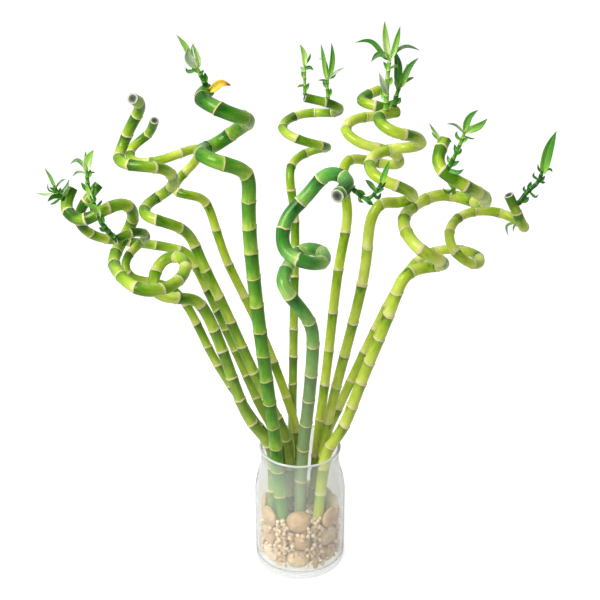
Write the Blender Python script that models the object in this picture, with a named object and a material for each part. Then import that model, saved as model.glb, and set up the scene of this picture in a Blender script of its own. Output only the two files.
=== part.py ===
"""Lucky bamboo: twelve curled canes with leaf shoots, held by pebbles in a clear glass jar.

The frame: the jar's axis is Z, +Z is up, -Y is the front, and the origin is the middle of the jar's
flat underside. Lengths in this file are millimetres, and MM turns them into Blender's metres.
"""

import math

import bmesh
import bpy
import numpy as np
from mathutils import Vector

MM = 0.001
GAP = 0.3

# The jar
JAR_HEIGHT = 150.0
JAR_BODY_RADIUS = 51.5
JAR_NECK_RADIUS = 44.2
JAR_RIM_RADIUS = 46.0
JAR_BASE_RADIUS = 46.0
JAR_WALL = 2.8
JAR_FLOOR = 8.5
JAR_HEEL_RADIUS = 5.5
JAR_INNER_HEEL_RADIUS = 5.0
JAR_NECK_BOTTOM = 131.0
JAR_NECK_TOP = 141.0
JAR_SIDES = 32

# The jar's shoulder: how far it has drawn in from the body, and at what height
JAR_SHOULDER = [(0.0, 92.0), (1.3, 104.0), (4.4, 118.0)]

# The canes stand on the jar's floor, and their routes start here
FOOT = JAR_FLOOR + 4 * GAP
MAX_RUN = 32.0
MAX_TURN = math.radians(25.0)
CURVE_POWER = 0.6
CURVE_SAMPLES = 1200
CANE_BEVEL = 2

# The shoots start clear of their cane's skin, square to it for a short way. A bent one has a ring at
# every tenth sample of its curve, and a nearly straight one at every fourteenth.
SHOOT_CLEARANCE = 3 * GAP
SHOOT_START_LENGTH = 1.5
SHOOT_SAMPLES = 60
BENT_STEP = 10
STRAIGHT_STEP = 14
SHOOT_BEVEL = 1

# The leaves: thickness at the base, how far the sides are folded up, and rings along the blade
LEAF_THICKNESS = 1.0
LEAF_FOLD = 0.3
LEAF_RINGS = 6
LEAF_FACING = Vector((0.0, -1.0, 0.25))

# The bed of pebbles
PEBBLE_BED_BOTTOM = JAR_FLOOR + 0.6
PEBBLE_LAYER = 24.0
PEBBLE_ROUNDNESS = 0.85

GREEN = (0.34, 0.52, 0.06)
DARK_GREEN = (0.07, 0.26, 0.03)
BLUE_GREEN = (0.25, 0.48, 0.17)
LEAF_GREEN = (0.09, 0.33, 0.05)
STRAW = (0.80, 0.58, 0.16)
TAN = (0.52, 0.40, 0.27)

# Each cane: its radius and its route from foot to cut end. The first point stands on the jar's floor,
# the third is at the jar's mouth, and the curls turn clockwise as seen from above.
CANES = {
    "cane_left_thin": (4.7, GREEN, [
        (-25, 8), (-30, 8, 85), (-35, 8, 150), (-47, 9, 170), (-68, 12, 203), (-100, 18, 261),
        (-132, 27, 323), (-157, 21, 340), (-180, 14, 350), (-186, 20, 362), (-177, 33, 375),
        (-163, 22, 391), (-169, -4, 407), (-187, -24, 406)]),
    "cane_left_double_loop": (6.2, GREEN, [
        (-27, -7), (-31, -8, 85), (-33, -8, 150), (-52, -12, 184), (-73, -15, 242), (-103, -17, 329),
        (-115, -23, 340), (-136, -31, 346), (-152, -15, 351), (-145, 9, 369), (-129, 5, 376),
        (-118, -18, 374), (-131, -57, 369), (-156, -74, 373), (-182, -48, 380), (-191, -12, 384),
        (-183, 15, 397), (-174, 14, 417), (-181, -12, 440), (-201, -26, 436), (-220, -26, 429),
        (-236, -12, 436), (-232, 1, 453)]),
    "cane_left_reaching": (5.3, GREEN, [
        (-14, 13), (-19, 12, 85), (-24, 12, 150), (-39, 17, 178), (-62, 34, 225), (-115, 69, 337),
        (-128, 77, 352), (-161, 77, 361), (-196, 72, 368), (-220, 56, 379), (-234, 42, 397),
        (-232, 34, 417), (-213, 45, 442)]),
    "cane_left_tall": (5.6, GREEN, [
        (-13, -3), (-13, -2, 85), (-13, -2, 150), (-22, -3, 179), (-48, -3, 238), (-81, 0, 320),
        (-104, 4, 374), (-115, 0, 402), (-135, -20, 423), (-156, -13, 429), (-157, 7, 433),
        (-147, 21, 437), (-131, 10, 453), (-134, -23, 480), (-153, -35, 487), (-178, -18, 488),
        (-178, -1, 496), (-168, -1, 517), (-156, -12, 540), (-159, -35, 554)]),
    "cane_back_left": (5.0, GREEN, [
        (-1, 10), (-2, 12, 85), (-3, 14, 150), (-12, 25, 186), (-52, 60, 282), (-83, 80, 344),
        (-97, 91, 386), (-107, 91, 409), (-122, 82, 418), (-138, 93, 421), (-131, 116, 431),
        (-117, 116, 446), (-111, 102, 464), (-133, 82, 464), (-165, 76, 457), (-183, 84, 459),
        (-182, 98, 468), (-167, 102, 480), (-156, 88, 500)]),
    "cane_dark_front": (7.0, DARK_GREEN, [
        (-16, -21), (-21, -22, 85), (-26, -22, 150), (-37, -48, 277), (-46, -59, 379),
        (-49, -67, 462), (-52, -74, 493), (-75, -84, 506), (-94, -62, 509), (-83, -34, 508),
        (-61, -34, 523), (-49, -56, 538), (-62, -82, 551), (-82, -78, 559), (-91, -60, 562),
        (-86, -46, 565)]),
    "cane_back_centre": (4.9, GREEN, [
        (-6, 24), (-8, 27, 85), (-9, 30, 150), (-8, 50, 214), (-6, 83, 331), (-7, 97, 398),
        (-11, 108, 436), (0, 132, 447), (19, 136, 454), (30, 117, 462), (8, 92, 475), (-17, 106, 483),
        (-13, 134, 489), (13, 151, 492), (39, 134, 497), (39, 106, 511), (5, 92, 524)]),
    "cane_hooked_front": (6.8, BLUE_GREEN, [
        (-2, -12), (0, -14, 85), (3, -15, 150), (7, -25, 196), (13, -48, 287), (11, -61, 327),
        (-1, -71, 353), (-16, -73, 378), (-12, -49, 387), (5, -25, 396), (21, -37, 398),
        (22, -65, 399), (3, -91, 410), (-14, -83, 419), (-13, -73, 445), (8, -62, 468),
        (27, -64, 488), (43, -81, 488), (34, -115, 484)]),
    "cane_back_right": (5.4, GREEN, [
        (13, 5), (16, 7, 85), (20, 9, 150), (31, 25, 245), (44, 46, 358), (51, 55, 410),
        (46, 59, 441), (51, 75, 458), (79, 96, 452), (107, 90, 451), (98, 70, 470), (67, 56, 483),
        (49, 70, 494), (62, 92, 501), (84, 100, 502), (95, 80, 513), (81, 62, 522), (65, 74, 525),
        (85, 100, 530)]),
    "cane_right_tall": (5.6, GREEN, [
        (18, -6), (23, -6, 85), (27, -4, 150), (47, -13, 266), (68, -20, 384), (72, -23, 429),
        (82, -17, 442), (100, -6, 440), (112, -20, 451), (93, -49, 472), (72, -41, 481),
        (71, -16, 489), (94, 4, 493), (117, -7, 500), (112, -30, 515), (88, -49, 526),
        (76, -30, 533), (95, -7, 534)]),
    "cane_right_wide": (6.2, GREEN, [
        (11, -23), (22, -21, 85), (30, -17, 150), (44, -21, 178), (64, -32, 243), (95, -42, 344),
        (107, -42, 374), (128, -31, 379), (144, -40, 386), (119, -68, 412), (104, -35, 425),
        (120, 15, 430), (154, 38, 433), (183, 15, 433), (186, -19, 448), (155, -67, 479),
        (133, -61, 495), (139, -36, 513)]),
    "cane_far_right": (5.3, GREEN, [
        (19, 19), (24, 18, 85), (30, 18, 150), (38, 23, 170), (81, 48, 262), (120, 69, 331),
        (143, 84, 347), (174, 85, 353), (197, 63, 353), (191, 38, 354), (167, 26, 372),
        (161, 44, 385), (180, 81, 395), (217, 92, 395), (242, 75, 389), (241, 47, 394),
        (219, 32, 435)]),
}

# Each shoot: the cane it grows from, its radius at the cane and at its tip, and its route outwards
SHOOTS = {
    "shoot_left_thin": ("cane_left_thin", 3.4, 2.2, [
        (-191, -31, 417), (-197, -37, 429), (-201, -40, 444), (-207, -39, 466), (-207, -38, 484)]),
    "shoot_left_double_loop": ("cane_left_double_loop", 2.8, 1.6, [
        (-239, -10, 445), (-243, -14, 453), (-246, -16, 461)]),
    "shoot_dark_front": ("cane_dark_front", 3.4, 1.8, [(-88, -52, 573), (-92, -54, 581), (-95, -54, 588)]),
    "shoot_back_centre_left": ("cane_back_centre", 2.2, 1.6, [(5, 90, 531), (5, 90, 545), (5, 90, 559)]),
    "shoot_back_centre_right": ("cane_back_centre", 2.6, 1.7, [(31, 96, 525), (29, 97, 534), (30, 98, 543)]),
    "shoot_hooked_front": ("cane_hooked_front", 2.8, 1.7, [
        (50, -92, 482), (56, -93, 477), (63, -93, 474), (71, -93, 481), (75, -94, 490)]),
    "shoot_right_tall_left": ("cane_right_tall", 3.2, 2.0, [(84, -21, 544), (83, -22, 556), (85, -22, 590)]),
    "shoot_right_tall_right": ("cane_right_tall", 3.2, 2.0, [(92, -8, 542), (94, -8, 551), (97, -8, 560)]),
    "shoot_right_wide_right": ("cane_right_wide", 2.8, 1.7, [
        (142, -70, 500), (146, -71, 511), (150, -71, 522), (153, -71, 532)]),
    "shoot_right_wide_low": ("cane_right_wide", 2.4, 1.5, [(160, 30, 443), (157, 26, 451), (155, 25, 457)]),
    "shoot_far_right": ("cane_far_right", 3.4, 2.2, [
        (232, 35, 426), (240, 38, 437), (249, 40, 445), (254, 42, 457)]),
}

# Each leaf: its widest half-width and its route from base to tip, past the end of its shoot
LEAVES = {
    "leaf_left_thin_top": (4.6, [(-207, -38, 487), (-204, -40, 497), (-199, -40, 505)]),
    "leaf_dark_front_long": (3.4, [(-97, -54, 590), (-104, -56, 607), (-112, -58, 618)]),
    "leaf_dark_front_up": (2.4, [(-93, -54, 591), (-95, -56, 601), (-98, -56, 610)]),
    "leaf_back_centre_left_top": (3.2, [(5, 90, 561), (4, 91, 571), (0, 92, 580)]),
    "leaf_back_centre_right_tall": (3.2, [(31, 98, 545), (34, 98, 563), (33, 97, 581)]),
    "leaf_back_centre_right_side": (2.6, [(28, 98, 545), (25, 99, 564), (22, 100, 579)]),
    "leaf_right_tall_up": (3.6, [(83, -22, 593), (80, -23, 610), (79, -23, 624)]),
    "leaf_right_tall_right": (3.2, [(87, -22, 592), (91, -21, 606), (94, -20, 619)]),
    "leaf_right_tall_arched": (2.6, [(81, -22, 590), (68, -24, 605), (52, -26, 605)]),
    "leaf_right_tall_dark": (4.5, [(95, -8, 563), (94, -10, 580), (90, -12, 595)]),
    "leaf_right_tall_outer": (3.6, [(99, -8, 562), (104, -6, 575), (114, -4, 586)]),
    "leaf_hooked_front": (3.0, [(76, -94, 493), (79, -94, 501), (82, -92, 510)]),
    "leaf_right_wide_right": (4.0, [(156, -71, 533), (165, -71, 537), (173, -71, 544)]),
    "leaf_right_wide_up": (3.4, [(153, -71, 535), (156, -71, 545), (164, -71, 552)]),
    "leaf_far_right": (6.0, [(255, 42, 460), (258, 42, 479), (265, 42, 501)]),
}

# The dried sheath that hangs at the dark cane's top: its half-width and its route from base to tip
WITHERED_SHEATH = (3.6, [(-80, -54, 568), (-73, -56, 573), (-65, -54, 570)])

# The pebbles, layer by layer from the bottom: the bearing of each in degrees, how far out its middle is,
# and its half-sizes along the jar's radius and around it. Broad ones fill the gaps between the canes,
# and slim ones stand between a cane and the glass.
PEBBLES = [
    [(6, 34.7, 11, 14), (75, 35.7, 10, 14), (132, 35.7, 10, 14), (216, 39.7, 6, 14),
     (267, 35.7, 10, 14), (324, 37.4, 9, 11)],
    [(3, 35.7, 10, 14), (75, 35.7, 10, 14), (132, 36.7, 9, 14), (171, 40.2, 6, 12),
     (213, 40.4, 6, 11), (270, 34.0, 12, 13), (321, 39.7, 6, 14)],
    [(3, 36.7, 9, 14), (72, 34.2, 12, 12), (135, 36.7, 9, 14), (174, 41.0, 5, 13),
     (213, 41.0, 5, 13), (267, 33.7, 12, 14), (324, 41.0, 5, 13)],
]


def start_empty():
    for thing in list(bpy.data.objects):
        bpy.data.objects.remove(thing, do_unlink=True)


def make_material(name, colour, roughness, transmission=0.0):
    material = bpy.data.materials.new(name)
    material.use_nodes = True
    shader = material.node_tree.nodes["Principled BSDF"]
    shader.inputs["Base Color"].default_value = (*colour, 1.0)
    shader.inputs["Roughness"].default_value = roughness
    shader.inputs["Metallic"].default_value = 0.0
    shader.inputs["Transmission Weight"].default_value = transmission
    return material


def add_object(name, data, material):
    thing = bpy.data.objects.new(name, data)
    thing.data.materials.append(material)
    bpy.context.scene.collection.objects.link(thing)
    return thing


def mesh_object(name, mesh_builder, material):
    mesh = bpy.data.meshes.new(name)
    mesh_builder.to_mesh(mesh)
    mesh_builder.free()
    mesh.shade_smooth()
    mesh.set_sharp_from_angle(angle=math.radians(50.0))
    return add_object(name, mesh, material)


def arc(centre, radius, start, end, steps):
    """Points of a circular arc in the jar's section, angles in degrees from +R."""
    angles = np.radians(np.linspace(start, end, steps))
    return [(centre[0] + radius * math.cos(a), centre[1] + radius * math.sin(a)) for a in angles]


def jar_section():
    """The jar's wall from the middle of the underside, up the outside and down the inside."""
    bead = JAR_WALL / 2
    heel = [(JAR_BASE_RADIUS, 0.0)]
    heel += arc((JAR_BASE_RADIUS, JAR_HEEL_RADIUS), JAR_HEEL_RADIUS, -60, 0, 3)
    upper = [(JAR_BODY_RADIUS - drawn_in, height) for drawn_in, height in JAR_SHOULDER]
    upper += [(JAR_NECK_RADIUS, JAR_NECK_BOTTOM), (JAR_NECK_RADIUS, JAR_NECK_TOP)]
    rim = arc((JAR_RIM_RADIUS - bead, JAR_HEIGHT - bead), bead, 0, 180, 5)
    inside = [(radius - JAR_WALL, height) for radius, height in reversed(upper)]
    floor_middle = (JAR_BODY_RADIUS - JAR_WALL - JAR_INNER_HEEL_RADIUS, JAR_FLOOR + JAR_INNER_HEEL_RADIUS)
    floor = arc(floor_middle, JAR_INNER_HEEL_RADIUS, 0, -90, 3)
    return heel + upper + rim + inside + floor


def make_jar(material):
    """One glass jar, turned about Z. Both ends of its section meet the axis in a fan of faces."""
    jar = bmesh.new()
    rings = []
    for radius, height in jar_section():
        turn = [2 * math.pi * side / JAR_SIDES for side in range(JAR_SIDES)]
        rings.append([jar.verts.new((radius * math.cos(a) * MM, radius * math.sin(a) * MM, height * MM))
                      for a in turn])
    for lower, upper in zip(rings, rings[1:]):
        for side in range(JAR_SIDES):
            after = (side + 1) % JAR_SIDES
            jar.faces.new((lower[side], lower[after], upper[after], upper[side]))
    for ring, height in ((rings[0], 0.0), (rings[-1], JAR_FLOOR)):
        middle = jar.verts.new((0.0, 0.0, height * MM))
        for side in range(JAR_SIDES):
            jar.faces.new((ring[side], ring[(side + 1) % JAR_SIDES], middle))
    bmesh.ops.recalc_face_normals(jar, faces=jar.faces)
    return mesh_object("vase", jar, material)


def smooth_curve(route, samples=CURVE_SAMPLES):
    """A natural cubic curve through the route's points."""
    points = np.array(route, dtype=float)
    chords = np.linalg.norm(np.diff(points, axis=0), axis=1)
    knots = np.concatenate([[0.0], np.cumsum(chords ** CURVE_POWER)])
    spans = np.diff(knots)
    count = len(points)
    matrix = np.eye(count)
    bends = np.zeros((count, 3))
    for i in range(1, count - 1):
        matrix[i, i - 1:i + 2] = spans[i - 1], 2 * (spans[i - 1] + spans[i]), spans[i]
        after = (points[i + 1] - points[i]) / spans[i]
        before = (points[i] - points[i - 1]) / spans[i - 1]
        bends[i] = 6 * (after - before)
    bends = np.linalg.solve(matrix, bends)
    places = np.linspace(0.0, knots[-1], samples)
    span = np.clip(np.searchsorted(knots, places, side="right") - 1, 0, count - 2)
    width = spans[span][:, None]
    left = (knots[span + 1] - places)[:, None]
    right = (places - knots[span])[:, None]
    bent = (bends[span] * left ** 3 + bends[span + 1] * right ** 3) / (6 * width)
    straight_left = (points[span] / width - bends[span] * width / 6) * left
    straight_right = (points[span + 1] / width - bends[span + 1] * width / 6) * right
    return bent + straight_left + straight_right


def spaced_stations(curve):
    """Stations along a fine curve: far apart where it is straight, close together where it curls."""
    steps = np.diff(curve, axis=0)
    lengths = np.linalg.norm(steps, axis=1)
    directions = steps / lengths[:, None]
    stations = [0]
    run = 0.0
    turn = 0.0
    for i in range(1, len(steps)):
        run += lengths[i - 1]
        turn += math.acos(max(-1.0, min(1.0, float(directions[i - 1] @ directions[i]))))
        if run >= MAX_RUN or turn >= MAX_TURN:
            stations.append(i)
            run = 0.0
            turn = 0.0
    last = len(curve) - 1
    if last - stations[-1] < 8:
        stations.pop()
    return stations + [last]


def make_tube(name, centres, radii, bevel_resolution, material):
    """A round stem with capped ends, along a curve object's spline."""
    curve = bpy.data.curves.new(name, "CURVE")
    curve.dimensions = "3D"
    curve.bevel_depth = MM
    curve.bevel_resolution = bevel_resolution
    curve.use_fill_caps = True
    curve.render_resolution_u = 0
    spline = curve.splines.new("POLY")
    spline.points.add(len(centres) - 1)
    for point, centre, radius in zip(spline.points, centres, radii):
        point.co = (*(centre * MM), 1.0)
        point.radius = radius
    return add_object(name, curve, material)


def make_canes(materials):
    curves = {}
    for name, (radius, colour, route) in CANES.items():
        standing_route = [(*route[0], FOOT)] + route[1:]
        curve = smooth_curve(standing_route)
        centres = curve[spaced_stations(curve)]
        make_tube(name, centres, [radius] * len(centres), CANE_BEVEL, materials[colour])
        curves[name] = curve
    return curves


def make_shoots(cane_curves, material):
    """Each shoot starts just outside its cane's skin, square to it, and tapers to its tip."""
    for name, (cane, base_radius, tip_radius, route) in SHOOTS.items():
        curve = cane_curves[cane]
        first = np.array(route[0], dtype=float)
        nearest = curve[np.linalg.norm(curve - first, axis=1).argmin()]
        outwards = (first - nearest) / np.linalg.norm(first - nearest)
        start = nearest + outwards * (CANES[cane][0] + SHOOT_CLEARANCE)
        second = start + outwards * SHOOT_START_LENGTH
        stem = smooth_curve([tuple(start), tuple(second)] + route[1:], SHOOT_SAMPLES)
        centres = stem[::BENT_STEP] if len(route) > 3 else stem[::STRAIGHT_STEP]
        centres = np.vstack([centres[:-1], stem[-1:]])
        radii = np.linspace(base_radius, tip_radius, len(centres))
        make_tube(name, centres, radii, SHOOT_BEVEL, material)


def make_leaf(name, half_width, route, material):
    """A pointed blade with a diamond section, folded up along both sides of its middle rib. It has two
    fifths of its full width at its base, and is widest a little over a third of the way out."""
    base, middle, tip = (Vector(point) * MM for point in route)
    blade = bmesh.new()
    rings = []
    for t in np.linspace(0.02, 0.92, LEAF_RINGS):
        centre = base * (1 - t) ** 2 + (2 * middle - (base + tip) / 2) * 2 * t * (1 - t) + tip * t ** 2
        along = (middle - base).lerp(tip - middle, t).normalized()
        across = along.cross(LEAF_FACING).normalized()
        up = across.cross(along)
        wide = half_width * MM * math.sin(math.pi * min(1.0, 0.10 + 0.88 * t ** 0.8))
        thick = LEAF_THICKNESS * MM * (0.5 - 0.3 * t)
        rings.append([blade.verts.new(centre + offset) for offset in (
            across * wide + up * LEAF_FOLD * wide, up * thick,
            -across * wide + up * LEAF_FOLD * wide, -up * thick)])
    point = blade.verts.new(tip)
    blade.faces.new(rings[0])
    for near, far in zip(rings, rings[1:]):
        for side in range(4):
            after = (side + 1) % 4
            blade.faces.new((near[side], near[after], far[after], far[side]))
    for side in range(4):
        blade.faces.new((rings[-1][side], rings[-1][(side + 1) % 4], point))
    bmesh.ops.recalc_face_normals(blade, faces=blade.faces)
    return mesh_object(name, blade, material)


def make_pebble(name, bearing, reach, half_radial, half_around, height, half_height, material):
    """A flattened river pebble, standing in the gap between the canes and the glass."""
    pebble = bmesh.new()
    bmesh.ops.create_icosphere(pebble, subdivisions=2, radius=1.0)
    angle = math.radians(bearing)
    outwards = Vector((math.cos(angle), math.sin(angle), 0.0))
    around = Vector((-math.sin(angle), math.cos(angle), 0.0))
    for vert in pebble.verts:
        x, y, z = (math.copysign(abs(c) ** PEBBLE_ROUNDNESS, c) for c in vert.co)
        middle = outwards * (reach + half_radial * x)
        vert.co = (middle + around * half_around * y + Vector((0, 0, height + half_height * z))) * MM
    return mesh_object(name, pebble, material)


def make_pebbles(material):
    number = 0
    for layer, stones in enumerate(PEBBLES):
        height = PEBBLE_BED_BOTTOM + PEBBLE_LAYER * (layer + 0.5)
        for bearing, reach, half_radial, half_around in stones:
            number += 1
            make_pebble(f"pebble_{number:02d}", bearing, reach, half_radial, half_around,
                        height, PEBBLE_LAYER / 2 - GAP, material)


def build():
    start_empty()
    materials = {
        GREEN: make_material("cane_green", GREEN, 0.35),
        DARK_GREEN: make_material("cane_dark_green", DARK_GREEN, 0.35),
        BLUE_GREEN: make_material("cane_blue_green", BLUE_GREEN, 0.35),
    }
    leaf = make_material("leaf_green", LEAF_GREEN, 0.40)
    make_jar(make_material("clear_glass", (1.0, 1.0, 1.0), 0.03, 1.0))
    cane_curves = make_canes(materials)
    make_shoots(cane_curves, leaf)
    for name, (half_width, route) in LEAVES.items():
        make_leaf(name, half_width, route, leaf)
    make_leaf("withered_sheath", *WITHERED_SHEATH, make_material("withered_straw", STRAW, 0.75))
    make_pebbles(make_material("river_pebble", TAN, 0.60))


build()
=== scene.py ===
"""Lucky bamboo: twelve curled canes with leafy shoots, held by river pebbles in a clear glass jar.

The jar's axis is Z, +Z is up, -Y is the front, and the origin is the middle of the jar's flat underside.
Sizes are written in millimetres, and MM turns them into Blender's metres.
"""

import math

import bmesh
import bpy
import numpy as np
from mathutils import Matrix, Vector, noise


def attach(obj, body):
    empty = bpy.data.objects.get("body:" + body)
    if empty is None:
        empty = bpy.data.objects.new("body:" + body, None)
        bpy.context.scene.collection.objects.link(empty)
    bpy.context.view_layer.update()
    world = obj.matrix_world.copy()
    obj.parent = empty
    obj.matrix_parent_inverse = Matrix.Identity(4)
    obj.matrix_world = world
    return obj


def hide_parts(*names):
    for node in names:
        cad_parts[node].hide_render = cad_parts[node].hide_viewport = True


MM = 0.001
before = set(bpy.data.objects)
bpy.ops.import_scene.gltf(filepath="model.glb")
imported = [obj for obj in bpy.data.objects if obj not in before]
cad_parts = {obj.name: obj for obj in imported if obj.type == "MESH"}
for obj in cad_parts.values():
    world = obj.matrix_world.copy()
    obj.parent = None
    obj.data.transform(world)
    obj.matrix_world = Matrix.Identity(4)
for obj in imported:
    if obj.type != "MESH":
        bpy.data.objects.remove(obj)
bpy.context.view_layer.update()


# ---------------------------------------------------------------------------------------------------------
# The jar. Clear soda-lime glass, blown into a mould: a straight body, a shoulder that draws in to a short
# neck, and a heavy floor. Its cut rim was melted round in a flame. It stands on its flat underside.

JAR_HEIGHT = 150.0
JAR_BODY_RADIUS = 51.5
JAR_BASE_RADIUS = 46.0
JAR_HEEL_RADIUS = 5.5
JAR_WALL = 2.8
JAR_FLOOR = 8.5
JAR_INNER_HEEL_RADIUS = 5.0
JAR_SHOULDER = [(51.5, 0, 84), (51.5, 0, 92), (50.2, 0, 104), (47.1, 0, 118), (44.2, 0, 131),
                (44.2, 0, 141)]
JAR_SIDE_HEIGHTS = [30.0, 60.0]
JAR_CENTRE_SHARE = 0.6
JAR_RIM_MIDDLE = 44.6
JAR_SIDES = 128


def paint(code):
    """The linear colour of an sRGB hex code."""
    parts = [int(code[i:i + 2], 16) / 255 for i in (1, 3, 5)]
    return tuple(p / 12.92 if p <= 0.04045 else ((p + 0.055) / 1.055) ** 2.4 for p in parts) + (1.0,)


def start_material(name):
    material = bpy.data.materials.new(name)
    material.use_nodes = True
    material.node_tree.nodes.clear()
    return material


def add(look, kind, inputs=None, stops=None, **settings):
    """Adds a node with its settings to a material or to the world's light. Each input takes a value,
    another node's output to link, or a whole node, which stands for its first output."""
    node = look.node_tree.nodes.new("ShaderNode" + kind)
    for name, value in settings.items():
        setattr(node, name, value)
    for name, value in (inputs or {}).items():
        if isinstance(value, bpy.types.Node):
            value = value.outputs[0]
        if isinstance(value, bpy.types.NodeSocket):
            look.node_tree.links.new(value, node.inputs[name])
        else:
            node.inputs[name].default_value = value
    for count, (place, code) in enumerate(stops or ()):
        elements = node.color_ramp.elements
        element = elements[count] if count < 2 else elements.new(place)
        element.position = place
        element.color = paint(code)
    return node


def make_piece(name, points, faces, materials, slot, stands_for=None, face_materials=None, **marks):
    """Makes a piece from points in millimetres, marks its points with the values its material reads,
    joins it to the plant, and shows it in place of the plain solid it stands for."""
    mesh = bpy.data.meshes.new(name)
    mesh.from_pydata((np.asarray(points, dtype=float) * MM).tolist(), [], faces)
    mesh.shade_smooth()
    mesh.set_sharp_from_angle(angle=math.radians(55))
    for mark, values in marks.items():
        values = np.asarray(values, dtype=float)
        is_vector = values.ndim == 2
        layer = mesh.attributes.new(mark, "FLOAT_VECTOR" if is_vector else "FLOAT", "POINT")
        layer.data.foreach_set("vector" if is_vector else "value", values.ravel())
    for material in materials:
        mesh.materials.append(material)
    if face_materials is not None:
        mesh.polygons.foreach_set("material_index", face_materials)
    piece = bpy.data.objects.new(name, mesh)
    bpy.context.scene.collection.objects.link(piece)
    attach(piece, "root")
    if stands_for:
        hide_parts(stands_for)
    return piece


def smooth_curve(route, samples=1200):
    """A natural cubic curve through the route's points."""
    points = np.array(route, dtype=float)
    knots = np.concatenate([[0.0], np.cumsum(np.linalg.norm(np.diff(points, axis=0), axis=1) ** 0.6)])
    spans = np.diff(knots)
    count = len(points)
    matrix = np.eye(count)
    bends = np.zeros((count, 3))
    for i in range(1, count - 1):
        matrix[i, i - 1:i + 2] = spans[i - 1], 2 * (spans[i - 1] + spans[i]), spans[i]
        after = (points[i + 1] - points[i]) / spans[i]
        before = (points[i] - points[i - 1]) / spans[i - 1]
        bends[i] = 6 * (after - before)
    bends = np.linalg.solve(matrix, bends)
    places = np.linspace(0.0, knots[-1], samples)
    span = np.clip(np.searchsorted(knots, places, side="right") - 1, 0, count - 2)
    width = spans[span][:, None]
    left = (knots[span + 1] - places)[:, None]
    right = (places - knots[span])[:, None]
    bent = (bends[span] * left ** 3 + bends[span + 1] * right ** 3) / (6 * width)
    straight_left = (points[span] / width - bends[span] * width / 6) * left
    straight_right = (points[span + 1] / width - bends[span + 1] * width / 6) * right
    return bent + straight_left + straight_right


def arc(middle_radius, middle_height, radius, start, end, steps):
    """Points of a round corner in the jar's section, angles in degrees from outwards."""
    turns = np.radians(np.linspace(start, end, steps))
    return [(middle_radius + radius * math.cos(a), middle_height + radius * math.sin(a)) for a in turns]


shoulder = [(r, z) for r, _, z in smooth_curve(JAR_SHOULDER, 30)]
bead = JAR_WALL / 2
rim_foot = JAR_HEIGHT - 2 * bead - 0.1
section = [(0.0, 0.0), (JAR_BASE_RADIUS * JAR_CENTRE_SHARE, 0.0)]
section += arc(JAR_BASE_RADIUS, JAR_HEEL_RADIUS, JAR_HEEL_RADIUS, -90, 0, 9)
section += [(JAR_BODY_RADIUS, z) for z in JAR_SIDE_HEIGHTS] + shoulder
section += arc(JAR_RIM_MIDDLE, JAR_HEIGHT - bead, bead, -20, 200, 15)
section += [(r - JAR_WALL, z) for r, z in reversed(shoulder)]
section += [(JAR_BODY_RADIUS - JAR_WALL, z) for z in reversed(JAR_SIDE_HEIGHTS)]
section += arc(JAR_BODY_RADIUS - JAR_WALL - JAR_INNER_HEEL_RADIUS, JAR_FLOOR + JAR_INNER_HEEL_RADIUS,
               JAR_INNER_HEEL_RADIUS, 0, -90, 9)
section += [(JAR_BASE_RADIUS * JAR_CENTRE_SHARE, JAR_FLOOR), (0.0, JAR_FLOOR)]

turns = np.linspace(0, 2 * math.pi, JAR_SIDES, endpoint=False)
jar_points = [(0.0, 0.0, 0.0)]
for radius, height in section[1:-1]:
    jar_points += [(radius * math.cos(a), radius * math.sin(a), height) for a in turns]
jar_points.append((0.0, 0.0, JAR_FLOOR))
jar_faces = []
jar_face_materials = []
for side in range(JAR_SIDES):
    after = (side + 1) % JAR_SIDES
    jar_faces.append((0, 1 + after, 1 + side))
    jar_face_materials.append(0)
    for ring in range(len(section) - 3):
        low, high = 1 + ring * JAR_SIDES, 1 + (ring + 1) * JAR_SIDES
        jar_faces.append((low + side, low + after, high + after, high + side))
        jar_face_materials.append(int(min(section[ring + 1][1], section[ring + 2][1]) > rim_foot))
    last = len(jar_points) - 1
    jar_faces.append((last, last - JAR_SIDES + side, last - JAR_SIDES + after))
    jar_face_materials.append(0)

# Soda-lime glass from a mould: clear, very slightly wavy, so that what stands behind it swims a little, and
# tinted pale grey all over: painted shade for the grey the glass takes from its surroundings. Lamp light
# falls through it.
glass = start_material("blown_soda_lime_glass")
waves = add(glass, "TexNoise", {"Vector": add(glass, "TexCoord").outputs["Object"], "Scale": 45.0})
ripple = add(glass, "Bump", {"Height": waves, "Strength": 0.25, "Distance": 0.0003})
lamp_light = add(glass, "MapRange", {"Value": add(glass, "LightPath").outputs["Is Shadow Ray"],
                                     "To Min": 1.0, "To Max": 0.1})
add(glass, "OutputMaterial", {"Surface": add(glass, "BsdfPrincipled", {
    "Base Color": paint("#eaebe9"), "Roughness": 0.015, "IOR": 1.5, "Transmission Weight": 0.90,
    "Alpha": lamp_light, "Normal": ripple})})

# The rim is satin, milky and pale, and only half clear: a painted highlight, so that it shows as one pale
# line.
rim_painted_highlight = start_material("flame_polished_glass_rim")
beads = add(rim_painted_highlight, "TexNoise", {"Vector": add(rim_painted_highlight, "TexCoord").outputs["Object"], "Scale": 300.0})
rim_bump = add(rim_painted_highlight, "Bump", {"Height": beads, "Strength": 0.15, "Distance": 0.0002})
add(rim_painted_highlight, "OutputMaterial", {"Surface": add(rim_painted_highlight, "BsdfPrincipled", {
    "Base Color": paint("#f1f4ee"), "Roughness": 0.16, "IOR": 1.5, "Transmission Weight": 0.35,
    "Normal": rim_bump})})
make_piece("vase_blown", jar_points, jar_faces, [glass, rim_painted_highlight], "clear_glass", "vase",
           jar_face_materials)


# ---------------------------------------------------------------------------------------------------------
# The canes. Living dracaena stems, each trained into curls by turning the pot towards the light as it grew.
# Every 25 to 45 mm a fallen leaf left a pale scar ring round the stem. The tops were sawn off and dried.

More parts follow.
